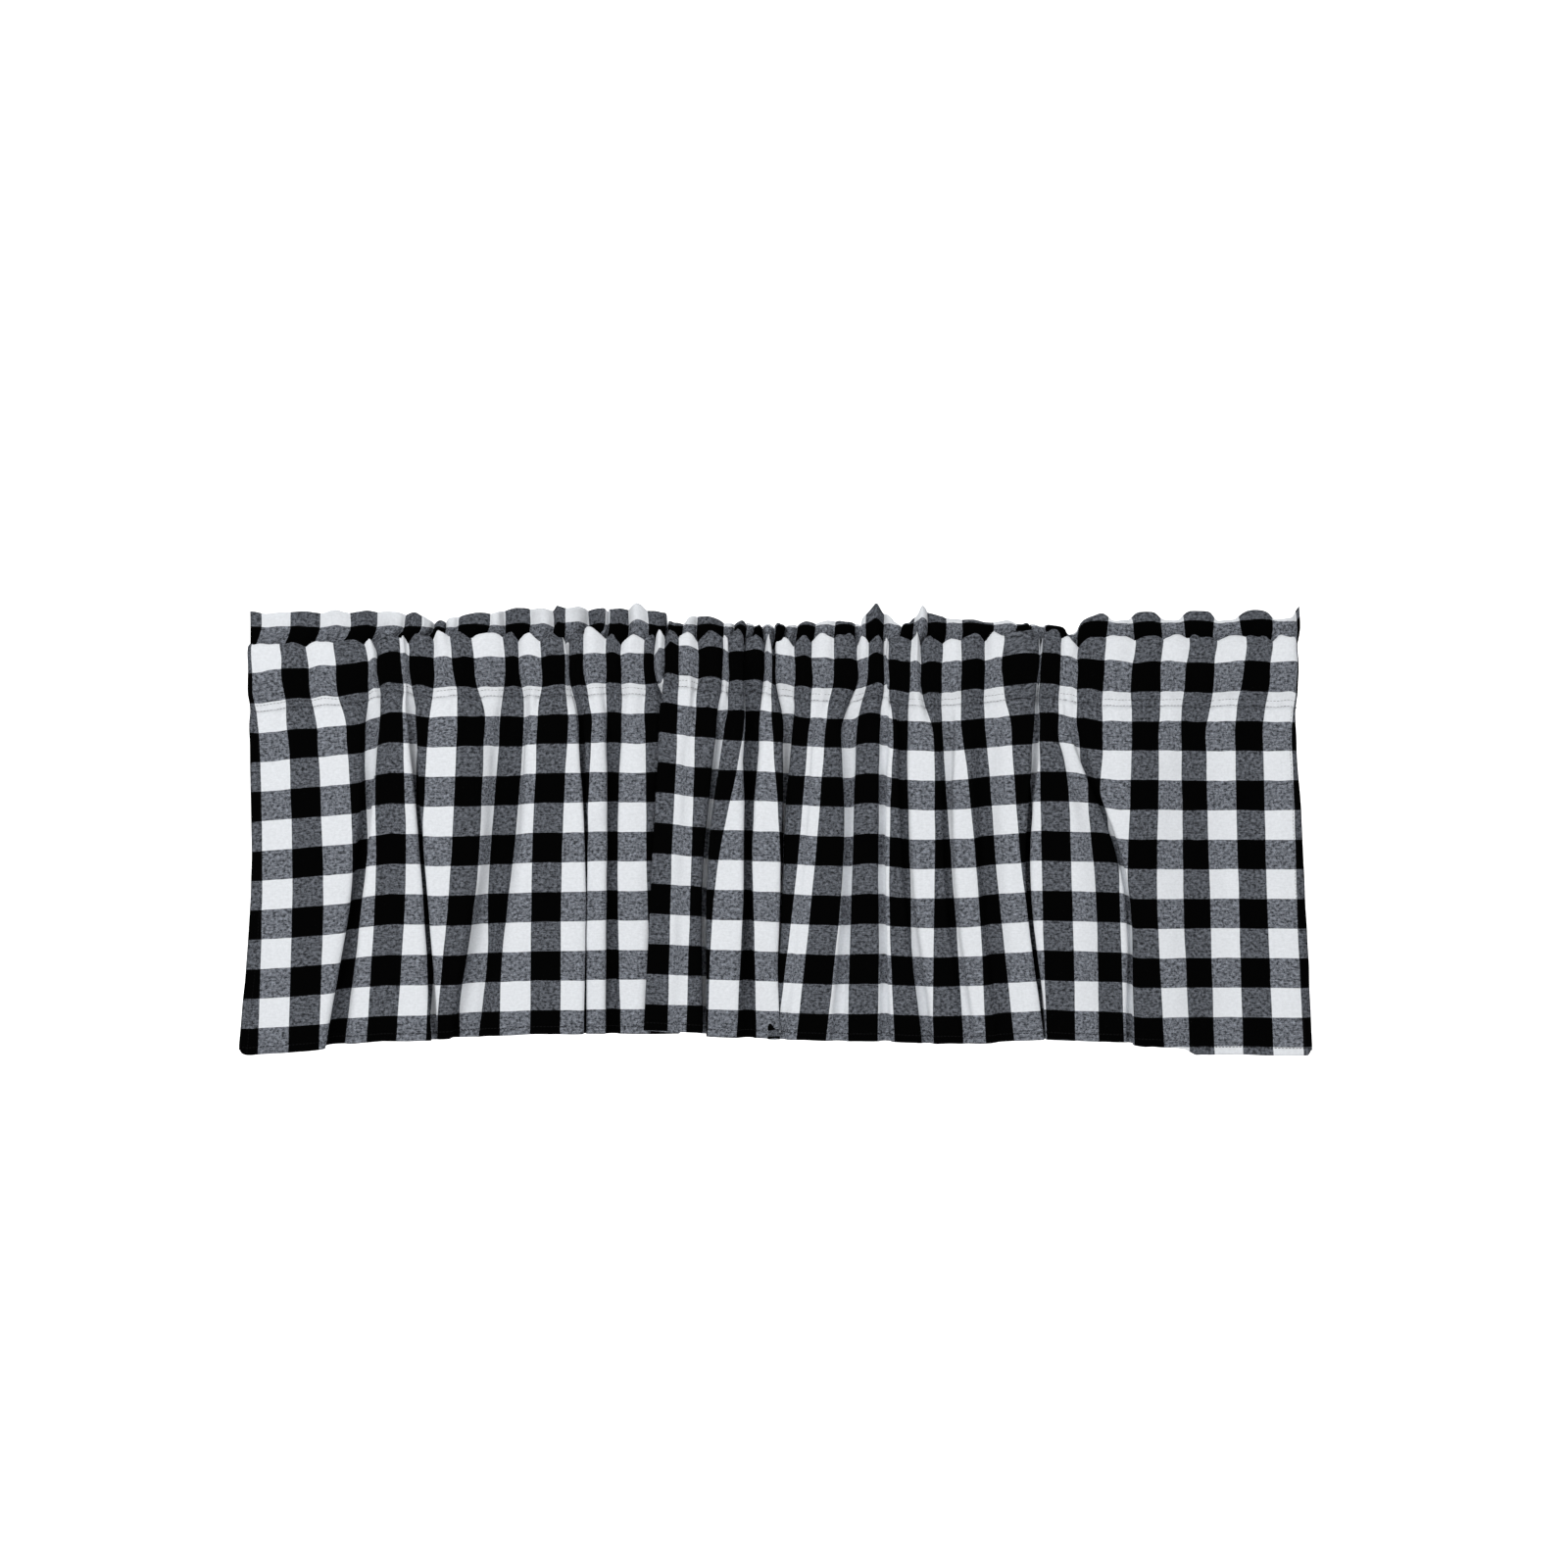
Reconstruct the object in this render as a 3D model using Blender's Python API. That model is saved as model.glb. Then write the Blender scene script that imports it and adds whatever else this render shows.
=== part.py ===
"""Window valance in black and white checked cotton, gathered on a rod pocket.

It is sewn from one length of cloth. The top is turned over to the back and
stitched down twice: the upper line of stitches leaves a ruffle above it, and
the lower one closes the pocket that a curtain rod goes through. Two solids
are made, 0.3 mm apart along the lower line of stitches: the heading, which is
the ruffle and the pocket, and the skirt that hangs below it.

Metres, +Z up. The front faces -Y. The origin is the middle of the upper line
of stitches, under which the rod carries the cloth.
"""

import bmesh
import bpy
import numpy as np

MM = 0.001

# The cloth, flat. Its length is counted in checks down from the folded top.
CHECK = 25.4 * MM
THICKNESS = 1.2 * MM
HEADER_LINE = 1.3
SEAM_LINE = 3.9

# The heading, hung
PLY_GAP = 1.6 * MM  # from the middle of the two plies to each one, where they are stitched
FOLD_GAP = 2.6 * MM  # the same, in the folded top edge of the ruffle
SEAM_DROP = 50 * MM  # from the upper line of stitches down to the lower one
SEAM_FLAT = 4 * MM  # height over which the plies hang straight, just above the lower one
POCKET_FRONT = ((-21, 13), (-33, -30))  # (y, z) of the two pulls of each ply's curve, in mm
POCKET_BACK = ((27, 9), (35, -31))
FOLDS_ON_ROD = 0.4  # depth of the folds half way down the pocket, of that at the stitches
SEAM_CLEARANCE = 0.6 * MM  # along the lower stitches, so that the two solids stay 0.3 mm apart

# Stations down the cloth at which the fold table gives the folds, in checks
STATIONS = {"ruffle": 0.2, "pocket": 2.6, "seam": 4.6, "middle": 9.8, "hem": 15.2}

# A row for each fold, from left to right. "cloth" is how far along the flat cloth
# it lies, in checks from the left edge, at the pocket, the seam, the middle and the
# hem. "x" is where it hangs, in mm from the middle. "ruffle" is the height of the
# ruffle above the upper stitches, and "rise" how much higher than level the checks
# lie there at the seam and at the hem, in mm.
FOLD_COLUMNS = (
    "kind",
    "cloth_pocket", "cloth_seam", "cloth_middle", "cloth_hem",
    "x_ruffle", "x_pocket", "x_seam", "x_middle", "x_hem",
    "ruffle", "rise_seam", "rise_hem",
)
FOLDS = (
    ("valley", 0.00, 0.00, 0.00, -0.30, -450, -449, -451, -451, -464, 30, -5, -4),
    ("ridge", 0.45, 0.45, 0.45, 0.20, -440, -444, -440, -440, -451, 30, -4, -4),
    ("ridge", 3.40, 3.60, 3.00, 2.30, -365, -370, -362, -374, -398, 30, 2, -1),
    ("valley", 4.85, 4.85, 3.95, 3.35, -331, -341, -346, -359, -384, 29, 7, 3),
    ("ridge", 5.85, 5.90, 5.90, 6.35, -313, -327, -331, -328, -324, 28, 12, 7),
    ("valley", 6.85, 7.40, 7.85, 8.85, -298, -313, -309, -301, -290, 23, 9, 7),
    ("valley", 11.85, 12.70, 11.85, 10.30, -224, -224, -211, -236, -273, 34, 8, 8),
    ("valley", 14.85, 15.00, 15.85, 15.85, -172, -178, -172, -161, -161, 33, 11, 11),
    ("valley", 17.85, 17.85, 17.85, 17.85, -136, -138, -138, -141, -138, 36, 12, 11),
    ("ridge", 18.90, 18.90, 19.00, 18.85, -124, -121, -119, -119, -121, 34, 10, 11),
    ("valley", 20.35, 20.60, 20.50, 20.30, -95, -103, -98, -104, -109, 20, 13, 12),
    ("ridge", 22.00, 21.70, 21.60, 21.50, -80, -88, -89, -96, -101, 26, 19, 15),
    ("valley", 24.85, 24.85, 24.85, 25.30, -40, -41, -47, -63, -61, 22, 11, 11),
    ("valley", 26.85, 27.30, 27.85, 29.10, -25, -24, -25, -26, -11, 20, 10, 9),
    ("valley", 29.35, 30.90, 30.60, 31.00, -3, -4, 14, 4, 2, 20, 8, 7),
    ("ridge", 32.10, 33.10, 33.60, 33.60, 28, 27, 39, 34, 26, 23, 3, 5),
    ("valley", 34.85, 34.85, 36.30, 36.90, 74, 73, 64, 83, 95, 22, 6, 5),
    ("valley", 36.85, 37.85, 39.60, 38.90, 95, 93, 106, 140, 128, 22, 5, 4),
    ("valley", 38.85, 40.70, 41.85, 40.85, 124, 118, 151, 179, 169, 24, 1, 3),
    ("valley", 44.85, 44.85, 44.40, 44.40, 221, 222, 225, 222, 230, 26, 8, 8),
    ("valley", 46.85, 46.90, 48.85, 48.85, 252, 247, 251, 297, 303, 18, 4, 5),
    ("ridge", 48.60, 48.60, 50.60, 50.60, 284, 284, 284, 331, 332, 28, 0, 2),
    ("valley", 52.85, 52.85, 52.85, 52.85, 383, 382, 382, 383, 388, 28, 0, 0),
    ("ridge", 54.60, 54.60, 54.60, 54.60, 420, 423, 422, 426, 431, 30, 0, 0),
    ("ridge", 55.15, 55.15, 55.20, 55.25, 438, 439, 437, 442, 448, 30, 0, 0),
    ("valley", 55.60, 55.60, 55.65, 55.75, 450, 443, 447, 453, 460, 30, 0, 0),
)

# The cut length of the cloth, in checks, at places along it: it isn't quite square.
LENGTH_AT = (0.0, 8.0, 18.0, 44.0, 51.4, 52.6, 55.8)
LENGTH = (15.50, 15.42, 15.36, 15.44, 15.42, 15.64, 15.64)

# At places down the cloth, in checks: how steeply a fold's sides turn, in degrees, and
# how deep the folds stay of what their cloth would give.
SLOPE_AT = (0.0, 4.2, 7.5, 16.0)
USUAL_SLOPE = (60, 60, 82, 82)
STEEPEST = (66, 66, 116, 120)
DEPTH_KEPT = (0.55, 0.55, 1.0, 1.0)
DEEPEST = (0.9, 0.9, 5.0, 5.0)  # most depth that a side has for each unit that it spans

STEPS_PER_SIDE = 3  # of the mesh, from a valley to a ridge
SKIRT_ROWS = 7


def with_missing_folds(rows):
    """Adds the opposite fold half way between two neighbours of one kind."""
    full = [rows[0]]
    for row in rows[1:]:
        last = full[-1]
        if row["kind"] == last["kind"]:
            between = {name: (last[name] + row[name]) / 2 for name in row if name != "kind"}
            between["kind"] = "ridge" if row["kind"] == "valley" else "valley"
            full.append(between)
        full.append(row)
    return full


FOLD_ROWS = with_missing_folds([dict(zip(FOLD_COLUMNS, row)) for row in FOLDS])


def column(name):
    return np.array([row[name] for row in FOLD_ROWS], float)


CLOTH = np.stack([column("cloth_" + at) for at in ("pocket", "pocket", "seam", "middle", "hem")])
PLACE = np.stack([column("x_" + at) for at in STATIONS]) * MM
RUFFLE = column("ruffle") * MM
RISE = np.stack([column("rise_seam"), column("rise_hem")]) * MM
TOWARDS_ROOM = np.array([1 if row["kind"] == "ridge" else -1 for row in FOLD_ROWS])


def down_the_cloth(length, values):
    """A smooth curve through one value for each station, read at a length in checks."""
    at = np.array(list(STATIONS.values()))
    length = min(max(length, at[0]), at[-1])
    k = min(int(np.searchsorted(at, length, side="right")) - 1, len(at) - 2)
    slopes = np.gradient(values, at, axis=0)
    span = at[k + 1] - at[k]
    t = (length - at[k]) / span
    return (
        values[k] * (1 + 2 * t) * (1 - t) ** 2
        + values[k + 1] * t * t * (3 - 2 * t)
        + slopes[k] * span * t * (1 - t) ** 2
        - slopes[k + 1] * span * t * t * (1 - t)
    )


# A fold's side turns by up to an angle and back. These are the shares of its cloth
# that it then spans sideways and in depth.
ANGLES = np.radians(np.arange(0, 151, 2))
HALF_TURN = np.sin(np.linspace(0, np.pi, 41))
SPAN_SHARE = np.cos(np.outer(ANGLES, HALF_TURN)).mean(axis=1)
DEPTH_SHARE = np.sin(np.outer(ANGLES, HALF_TURN)).mean(axis=1)
SOFTEST_BEND = 0.5  # least share of a side's cloth that is in its bend


def bend_of_side(ratio, usual, steepest):
    """Angle and share of the cloth in the bend of a side that spans ratio of its cloth."""
    ratio = min(max(ratio, 0.02), 0.999)
    soft = 1 - (1 - ratio) / SOFTEST_BEND
    usual_span = np.interp(usual, ANGLES, SPAN_SHARE)
    if soft >= usual_span:
        return np.interp(-soft, -SPAN_SHARE, ANGLES), SOFTEST_BEND
    if ratio >= usual_span:
        return usual, (1 - ratio) / (1 - usual_span)
    return min(np.interp(-ratio, -SPAN_SHARE, ANGLES), steepest), 1.0


def side_of_fold(angle, share, cloth):
    """(across, deep) of a side's cloth, from its ridge, at shares of its cloth."""
    fine = np.linspace(0, 1, 61)
    start = 0.85 * (1 - share)
    turn = angle * np.sin(np.pi * np.clip((fine - start) / share, 0, 1))
    step = fine[1]
    across = np.concatenate([[0], np.cumsum((np.cos(turn[1:]) + np.cos(turn[:-1])) / 2 * step)])
    deep = np.concatenate([[0], np.cumsum((np.sin(turn[1:]) + np.sin(turn[:-1])) / 2 * step)])
    return np.interp(cloth, fine, across), np.interp(cloth, fine, deep), across[-1], deep[-1]


def no_deeper(depth, place, most):
    """Brings neighbouring folds closer in depth wherever their side would be too steep."""
    depth = depth.copy()
    for _ in range(12):
        side = np.diff(depth)
        excess = np.sign(side) * np.clip(np.abs(side) - most * np.diff(place), 0, None) / 2
        depth[:-1] += excess
        depth[1:] -= excess
    return depth


def wave(length, steps):
    """One thread across the whole cloth at a length in checks from the top: along the
    cloth, across, deep, ruffle height, rise at the seam and rise at the hem."""
    cloth = down_the_cloth(length, CLOTH)
    place = down_the_cloth(length, PLACE)
    usual = np.radians(np.interp(length, SLOPE_AT, USUAL_SLOPE))
    steepest = np.radians(np.interp(length, SLOPE_AT, STEEPEST))
    used = np.diff(cloth) * CHECK
    ratio = np.diff(place) / used
    bends = [bend_of_side(r, usual, steepest) for r in ratio]
    natural = np.array([
        cut * share * np.interp(angle, ANGLES, DEPTH_SHARE)
        for cut, (angle, share) in zip(used, bends)
    ])
    beside = np.concatenate([[natural[0]], natural, [natural[-1]]])
    kept = np.interp(length, SLOPE_AT, DEPTH_KEPT)
    depth = -TOWARDS_ROOM * (beside[:-1] + beside[1:]) / 4 * kept
    depth = no_deeper(depth, place, np.interp(length, SLOPE_AT, DEEPEST))

    t = np.linspace(0, 1, steps + 1)
    points = []
    for i, (angle, share) in enumerate(bends):
        from_ridge = TOWARDS_ROOM[i] > 0
        across, deep, span, drop = side_of_fold(angle, share, t if from_ridge else 1 - t)
        if not from_ridge:
            across, deep = span - across, drop - deep
        x = place[i] + (place[i + 1] - place[i]) * across / span
        y = depth[i] + (depth[i + 1] - depth[i]) * deep / max(drop, 1e-6)
        others = [values[i] + (values[i + 1] - values[i]) * t for values in (cloth, RUFFLE, *RISE)]
        block = np.stack([others[0], x, y, *others[1:]], axis=1)
        points.append(block if i == len(bends) - 1 else block[:-1])
    return np.concatenate(points)


def curve_point(pulls, t):
    """(y, z) on a pocket ply's curve, from the upper stitches to just above the lower ones."""
    ends = ((0, 0), *pulls, (0, (SEAM_FLAT - SEAM_DROP) / MM))
    weights = ((1 - t) ** 3, 3 * t * (1 - t) ** 2, 3 * t * t * (1 - t), t**3)
    return [sum(w * end[axis] for w, end in zip(weights, ends)) * MM for axis in (0, 1)]


def thread_of_heading(length, ply, gap, share_up=0.0, down_pocket=0.0, below=0.0):
    """Points of the heading on one thread. ply is 1 at the front and -1 at the back."""
    thread = wave(length, STEPS_PER_SIDE)
    ruffle, rise = thread[:, 3], thread[:, 4]
    y_of_ply, z_of_ply = curve_point(POCKET_FRONT if ply > 0 else POCKET_BACK, down_pocket)
    on_rod = 1 - (1 - FOLDS_ON_ROD) * np.sin(np.pi * down_pocket)
    y = thread[:, 2] * on_rod - gap * ply + y_of_ply
    z = share_up * ruffle + z_of_ply + rise * (0.3 + 0.7 * down_pocket) - below
    return np.stack([thread[:, 1], y, z], axis=1)


def heading_threads():
    """From the lower stitches at the back, up, over the ruffle, and down the front."""
    down = (0.2, 0.5, 0.8, 1.0)
    pocket_length = SEAM_LINE - HEADER_LINE - SEAM_FLAT / CHECK
    back = [(SEAM_LINE, -1, PLY_GAP, 0, 1, SEAM_FLAT)]
    back += [(HEADER_LINE + t * pocket_length, -1, PLY_GAP, 0, t) for t in down[::-1]]
    back += [(HEADER_LINE, -1, PLY_GAP, 0, 0)]
    top = [(0.15, -1, FOLD_GAP, 0.93, 0), (0.0, 1, 0, 1, 0), (0.15, 1, FOLD_GAP, 0.93, 0)]
    front = [(HEADER_LINE, 1, PLY_GAP, 0, 0)]
    front += [(HEADER_LINE + t * pocket_length, 1, PLY_GAP, 0, t) for t in down]
    front += [(SEAM_LINE, 1, PLY_GAP, 0, 1, SEAM_FLAT)]
    return [thread_of_heading(*row) for row in back + top + front]


def skirt_threads():
    """From just under the lower stitches down to the hem."""
    threads = []
    for share in np.linspace(0, 1, SKIRT_ROWS + 1):
        level = wave(SEAM_LINE + share * (min(LENGTH) - SEAM_LINE), STEPS_PER_SIDE)
        cut = np.interp(level[:, 0], LENGTH_AT, LENGTH)
        hung = share * (cut - SEAM_LINE) * CHECK
        rise = level[:, 4] * (1 - share) + level[:, 5] * share
        y = level[:, 2] - PLY_GAP * (1 - share)
        z = rise - SEAM_DROP - SEAM_CLEARANCE - hung
        threads.append(np.stack([level[:, 1], y, z], axis=1))
    return threads


def cloth_material(name, color, roughness):
    material = bpy.data.materials.new(name)
    material.use_nodes = True
    shader = material.node_tree.nodes["Principled BSDF"]
    shader.inputs["Base Color"].default_value = (*color, 1)
    shader.inputs["Roughness"].default_value = roughness
    shader.inputs["Metallic"].default_value = 0
    return material


def sheet_through(name, threads, material):
    """A sheet of cloth through threads, each a row of points from left to right."""
    across, down = len(threads[0]) - 1, len(threads) - 1
    bm = bmesh.new()
    bmesh.ops.create_grid(bm, x_segments=across, y_segments=down, size=1)
    for vert in bm.verts:
        i = round((vert.co.x + 1) / 2 * across)
        j = round((vert.co.y + 1) / 2 * down)
        vert.co = threads[j][i]
    mesh = bpy.data.meshes.new(name)
    bm.to_mesh(mesh)
    bm.free()
    mesh.materials.append(material)
    mesh.shade_smooth()
    sheet = bpy.data.objects.new(name, mesh)
    bpy.context.collection.objects.link(sheet)
    thickness = sheet.modifiers.new("Thickness", "SOLIDIFY")
    thickness.thickness = THICKNESS
    thickness.offset = 0
    return sheet


def make_heading():
    material = cloth_material("heading_cotton", (0.30, 0.30, 0.31), 0.9)
    return sheet_through("heading", heading_threads(), material)


def make_skirt():
    material = cloth_material("skirt_cotton", (0.34, 0.34, 0.35), 0.9)
    return sheet_through("skirt", skirt_threads(), material)


def main():
    for old in list(bpy.data.objects):
        bpy.data.objects.remove(old, do_unlink=True)
    make_heading()
    make_skirt()


main()
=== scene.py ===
"""Window valance in black and white checked cotton, gathered on a rod pocket: its looks.

The cloth is modelled as it was sewn: one length of checked cotton, turned over at the top,
stitched down twice and gathered along both lines of stitches. A table of its folds says
where each fold lies on the flat cloth and where it hangs. The heading and the skirt are one
sheet each, and they meet along the lower line of stitches, as the two CAD solids do.

Metres, +Z up. The front faces -Y. The origin is the middle of the upper line of stitches.
"""

import math

import bmesh
import bpy
import numpy as np
from mathutils import Matrix, Vector, noise


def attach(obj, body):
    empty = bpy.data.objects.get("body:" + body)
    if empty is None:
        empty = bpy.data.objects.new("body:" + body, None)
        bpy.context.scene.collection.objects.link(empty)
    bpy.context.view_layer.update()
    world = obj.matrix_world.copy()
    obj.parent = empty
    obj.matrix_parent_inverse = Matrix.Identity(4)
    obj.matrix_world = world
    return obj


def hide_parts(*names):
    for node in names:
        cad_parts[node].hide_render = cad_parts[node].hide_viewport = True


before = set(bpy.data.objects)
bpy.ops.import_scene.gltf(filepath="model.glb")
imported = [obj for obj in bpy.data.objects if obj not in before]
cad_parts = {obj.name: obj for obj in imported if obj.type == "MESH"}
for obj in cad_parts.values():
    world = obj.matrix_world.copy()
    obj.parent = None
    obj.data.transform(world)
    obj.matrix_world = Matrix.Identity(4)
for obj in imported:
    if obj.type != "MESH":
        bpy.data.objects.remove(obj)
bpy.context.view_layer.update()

MM = 0.001

# The cloth, flat. Places along it are counted in checks from its left edge, and lengths
# in checks down from the folded top.
CHECK = 25.4 * MM
CLOTH_WIDTH = 55.7
HEADER_LINE = 1.3  # the upper line of stitches
SEAM_LINE = 3.9  # the lower line of stitches
HEM_LINE = 15.4  # the bottom edge, on the whole: LENGTH gives it place by place
SKIRT_LENGTH = HEM_LINE - SEAM_LINE
CLOTH_THICKNESS = 0.5 * MM

# The hems: how far they lie behind the cloth, and how far the rows of their mesh are from
# the edge, in checks
TURNED_GAP = 0.75 * MM
HEM_TURN = (0.01, 0.05, 0.13, 0.22, 0.29)
SIDE_TURN = (0.01, 0.05, 0.14, 0.25, 0.35)
TAIL = 0.12  # of the back ply, below the lower stitches

# Sewing thread
STITCH = 2.4 * MM
STITCH_PITCH = 3.0 * MM
THREAD_RADIUS = 0.17 * MM
HEM_THREAD_RADIUS = 0.4 * MM
THREAD_RAISED = 0.3  # of its radius, out of the cloth
HEM_STITCHES = 0.24  # checks from the bottom edge
SIDE_STITCHES = 0.31  # checks from the sides
SEAM_STITCHES = (3.87, 3.67)  # two lines, in checks down the cloth
RUFFLE_STITCHES = 0.06  # share of the ruffle's cloth
LITTLE = 0.02  # a small step down the cloth, to find which way it faces

# The heading, hung
PLY_GAP = 1.4 * MM  # from each ply to the middle between them
FOLD_GAP = 2.2 * MM  # the same beside the folded top
BESIDE_FOLD = 0.9  # the share of the ruffle's cloth above which that is
SEAM_DROP = 50 * MM  # from the upper stitches to the lower
# Share of the pocket's cloth, and how far towards the room the front ply then stands, in mm
POCKET_BELLY = ((0, 0), (0.05, 4), (0.12, 9), (0.25, 12), (0.5, 12), (0.75, 7), (0.9, 2), (1, 0))
# The same for the back ply, away from the room
POCKET_BACK = ((0, 0), (0.1, 8), (0.25, 15), (0.5, 18), (0.75, 14), (0.9, 6), (1, 0))
FOLDS_ON_ROD = 0.6  # share of the depth of the folds that is left over the rod
TOP_ROUNDING = 2.5 * MM
RUFFLE_ROUNDING = 2 * MM
RUFFLE_LEAN = 0.55  # how far it bends back for each unit of cloth that its height leaves over

# Rows of the heading's mesh: steps across, and shares of the cloth down it
HEADING_STEPS = 540
RUFFLE_ROWS = (0, 0.15, 0.3, 0.45, 0.6, 0.75, 0.88, 0.96)
BACK_POCKET_ROWS = np.linspace(1, 0, 13)[:-1]
FRONT_POCKET_ROWS = np.concatenate([
    np.arange(0.02, 0.2, 0.02),
    np.arange(0.22, 0.88, 0.05),
    np.minimum(np.arange(0.89, 1.001, 0.022), 1),
])

# Stations down the cloth at which the fold table gives the folds, in checks
STATIONS = {"seam": 4.6, "middle": 9.8, "hem": 15.2}
PAST_HEM = 0.5  # how far below the last station the folds carry on as they were going

# A row for each fold, from left to right. "cloth" is how far along the flat cloth it lies,
# in checks from the left edge, and "x" is where it hangs, in mm from the middle, both at
# the seam, the middle and the hem. "ruffle" and "top" are the heights of the ruffle and of
# the pocket's front above the upper stitches, and "rise" how much higher than level the
# checks lie there at the seam and at the hem, in mm. "soft" is the least share of the cloth
# beside the fold that its bend takes up, so that a small one is a sharp crease.
FOLD_COLUMNS = (
    "kind",
    "cloth_seam", "cloth_middle", "cloth_hem",
    "x_seam", "x_middle", "x_hem",
    "ruffle", "top", "rise_seam", "rise_hem", "soft",
)
FOLDS = (
    ("valley", 0.00, 0.00, -0.30, -452, -450, -461, 30, 3, -5, -4, 0.6),
    ("ridge", 0.42, 0.42, 0.15, -441, -439, -450, 30, 3, -4, -4, 0.6),
    ("ridge", 3.60, 3.10, 2.30, -361, -368, -392, 31, 5, 3, 0, 0.6),
    ("valley", 4.80, 4.10, 3.80, -346, -358, -380, 30, 5, 7, 3, 0.5),
    ("ridge", 5.90, 5.90, 5.90, -332, -328, -336, 29, 12, 13, 7, 0.6),
    ("valley", 7.10, 7.85, 8.70, -313, -301, -290, 22, 8, 11, 7, 0.15),
    ("ridge", 8.50, 8.90, 9.50, -294, -290, -288, 24, 13, 8, 7, 0.5),
    ("valley", 12.20, 11.75, 10.25, -220, -238, -275, 34, 12, 9, 8, 0.6),
    ("ridge", 13.80, 13.90, 13.40, -193, -195, -209, 35, 12, 10, 11, 0.6),
    ("valley", 15.45, 15.85, 15.85, -167, -160, -160, 33, 7, 10, 11, 0.1),
    ("ridge", 16.50, 16.45, 16.45, -153, -160, -161, 35, 19, 11, 11, 0.4),
    ("valley", 17.85, 17.85, 17.85, -138, -140, -141, 34, 9, 11, 11, 0.5),
    ("ridge", 18.85, 18.85, 18.90, -124, -124, -120, 37, 9, 10, 11, 0.6),
    ("valley", 20.60, 20.55, 20.25, -83, -80, -84, 26, 13, 11, 11, 0.9),
    ("ridge", 21.85, 21.75, 21.60, -97, -105, -112, 19, 14, 20, 15, 0.9),
    ("turn", 23.40, 23.35, 23.35, -68, -73, -77, 28, 12, 15, 14, 0.6),
    ("valley", 24.85, 24.85, 25.30, -46, -61, -61, 20, 12, 13, 12, 0.15),
    ("ridge", 25.90, 26.60, 26.60, -34, -44, -53, 22, 14, 12, 10, 0.5),
    ("valley", 27.90, 27.85, 27.90, -19, -24, -22, 19, 8, 12, 9, 0.4),
    ("ridge", 29.20, 28.90, 28.90, -8, -7, -3, 21, 12, 11, 8, 0.5),
    ("valley", 30.50, 30.35, 30.85, 9, 5, -1, 20, 6, 9, 7, 0.1),
    ("turn", 32.35, 32.35, 32.35, 28, 17, 1, 22, 10, 6, 7, 0.6),
    ("ridge", 33.40, 33.70, 33.80, 44, 41, 29, 23, 12, 5, 6, 0.6),
    ("valley", 34.85, 35.00, 35.00, 64, 62, 54, 20, 8, 4, 5, 0.5),
    ("ridge", 35.85, 35.85, 35.85, 77, 76, 74, 38, 9, 9, 5, 0.6),
    ("valley", 36.85, 36.85, 36.85, 94, 91, 94, 22, 6, 7, 5, 0.5),
    ("ridge", 37.40, 37.45, 37.80, 102, 99, 112, 20, 12, 4, 4, 0.6),
    ("valley", 37.95, 38.20, 38.85, 107, 112, 129, 20, 8, 2, 3, 0.6),
    ("ridge", 38.90, 39.10, 39.90, 123, 129, 148, 34, 11, 1, 3, 0.6),
    ("valley", 40.70, 40.20, 40.60, 149, 148, 166, 23, 6, 1, 3, 0.5),
    ("ridge", 41.40, 41.20, 41.50, 160, 168, 183, 24, 10, 2, 4, 0.6),
    ("valley", 42.30, 41.90, 42.00, 177, 180, 193, 23, 12, 4, 5, 0.9),
    ("ridge", 43.60, 43.10, 43.00, 207, 204, 222, 21, 14, 6, 7, 0.6),
    ("valley", 44.85, 43.95, 44.40, 225, 215, 231, 20, 12, 8, 8, 0.2),
    ("ridge", 45.50, 45.45, 45.50, 228, 229, 234, 20, 14, 9, 8, 0.6),
    ("turn", 46.20, 48.20, 48.20, 237, 290, 294, 18, 15, 8, 5, 0.6),
    ("valley", 46.95, 48.85, 48.90, 250, 298, 303, 19, 5, 4, 4, 0.4),
    ("ridge", 48.40, 49.50, 49.70, 281, 304, 315, 31, 10, 1, 1, 0.6),
    ("valley", 52.85, 52.85, 52.85, 382, 385, 389, 31, 10, 0, 0, 0.9),
    ("ridge", 55.25, 55.25, 55.30, 439, 442, 450, 31, 9, 0, 0, 0.6),
    ("valley", 55.60, 55.65, 55.75, 446, 453, 460, 37, 8, 0, 0, 0.6),
)

# How the upper stitches gather the cloth: (x in the ruffle, x on the pocket), in mm from
# the middle, for the left edge of the cloth, of each of its checks, and for its right edge.
# The first check at the left is cut through, and FIRST_CHECK is what is left of it.
FIRST_CHECK = 0.35
GATHERS = (
    (-451, -452), (-442, -448), (-415, -422), (-390, -399), (-366, -375), (-343, -348),
    (-319, -341), (-304, -320), (-293, -312), (-282, -291), (-271, -275), (-244, -258),
    (-234, -233), (-212, -219), (-191, -200), (-181, -182), (-161, -178), (-146, -165),
    (-143, -146), (-127, -133), (-110, -112), (-94, -103), (-92, -95), (-80, -82), (-69, -67),
    (-45, -45), (-35, -40), (-26, -28), (-19, -27.5), (-11, -9), (-1, -4), (8, -1), (18, 14),
    (34, 31), (51, 49), (69, 70), (78, 78), (93, 91), (108, 97), (118, 115), (129, 122),
    (146, 141), (160, 158), (187, 179), (206, 193), (219, 223), (231, 226), (251, 243),
    (260, 256), (284, 280), (304, 303), (330, 328), (350, 349), (376, 373), (398, 397),
    (424, 420), (447, 444), (450, 446),
)

# The cut length of the cloth, in checks, at places along it: it isn't quite square.
LENGTH_AT = (0.0, 3.0, 10.0, 14.0, 22.0, 24.0, 35.0, 42.0, 46.0, 50.0, 51.2, 51.6, 55.8)
LENGTH = (15.49, 15.44, 15.39, 15.34, 15.37, 15.43, 15.36, 15.39, 15.44, 15.37, 15.46, 15.66, 15.66)

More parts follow.
